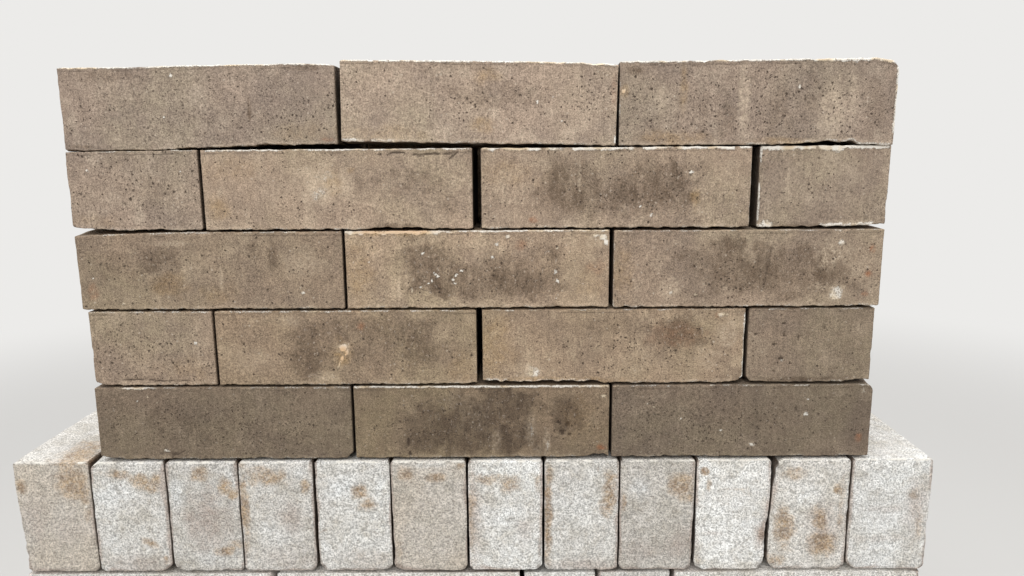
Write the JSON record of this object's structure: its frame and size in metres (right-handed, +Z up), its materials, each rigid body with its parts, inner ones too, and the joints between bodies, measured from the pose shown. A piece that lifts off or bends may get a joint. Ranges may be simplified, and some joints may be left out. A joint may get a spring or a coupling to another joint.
{
  "type": "pallet of bricks",
  "caption": "Timber block pallet with layers of pale facing bricks set on edge and a dry-laid stack of dark facing bricks in stretcher bond with turned ends on top.",
  "frame": {"origin": "middle of the pallet's underside, on the ground", "axes": "+Z up, +X to the right along the front of the pack, -Y out of the front that the camera sees"},
  "size_m": [0.8, 1.2, 0.8838],
  "materials": {
    "pallet_boards": "sawn softwood, weathered",
    "pallet_blocks": "sawn softwood, end grain on two sides",
    "pale_brick": "matt, sandy off-white slurry over buff clay",
    "dark_brick": "matt, pitted brown-grey fired clay"
  },
  "bodies": {
    "root": {"deck_board_1": "pallet_boards", "deck_board_2": "pallet_boards", "deck_board_3": "pallet_boards", "deck_board_4": "pallet_boards", "deck_board_5": "pallet_boards", "cross_board_front": "pallet_boards", "cross_board_middle": "pallet_boards", "cross_board_back": "pallet_boards", "block_front_left": "pallet_blocks", "block_front_middle": "pallet_blocks", "block_front_right": "pallet_blocks", "block_middle_left": "pallet_blocks", "block_middle_middle": "pallet_blocks", "block_middle_right": "pallet_blocks", "block_back_left": "pallet_blocks", "block_back_middle": "pallet_blocks", "block_back_right": "pallet_blocks", "runner_left": "pallet_boards", "runner_middle": "pallet_boards", "runner_right": "pallet_boards", "pale_layer_1": "pale_brick", "pale_layer_2": "pale_brick", "pale_layer_3": "pale_brick", "pale_layer_4": "pale_brick", "dark_brick_1_front_1": "dark_brick", "dark_brick_1_front_2": "dark_brick", "dark_brick_1_front_3": "dark_brick", "dark_brick_1_back_1": "dark_brick", "dark_brick_1_back_2": "dark_brick", "dark_brick_1_back_3": "dark_brick", "dark_brick_2_front_1": "dark_brick", "dark_brick_2_front_2": "dark_brick", "dark_brick_2_front_3": "dark_brick", "dark_brick_2_front_4": "dark_brick", "dark_brick_2_back_1": "dark_brick", "dark_brick_2_back_2": "dark_brick", "dark_brick_3_front_1": "dark_brick", "dark_brick_3_front_2": "dark_brick", "dark_brick_3_front_3": "dark_brick", "dark_brick_3_back_1": "dark_brick", "dark_brick_3_back_2": "dark_brick", "dark_brick_3_back_3": "dark_brick", "dark_brick_4_front_1": "dark_brick", "dark_brick_4_front_2": "dark_brick", "dark_brick_4_front_3": "dark_brick", "dark_brick_4_front_4": "dark_brick", "dark_brick_4_back_1": "dark_brick", "dark_brick_4_back_2": "dark_brick", "dark_brick_5_front_1": "dark_brick", "dark_brick_5_front_2": "dark_brick", "dark_brick_5_front_3": "dark_brick", "dark_brick_5_back_1": "dark_brick", "dark_brick_5_back_2": "dark_brick", "dark_brick_5_back_3": "dark_brick"}
  },
  "joints": []
}
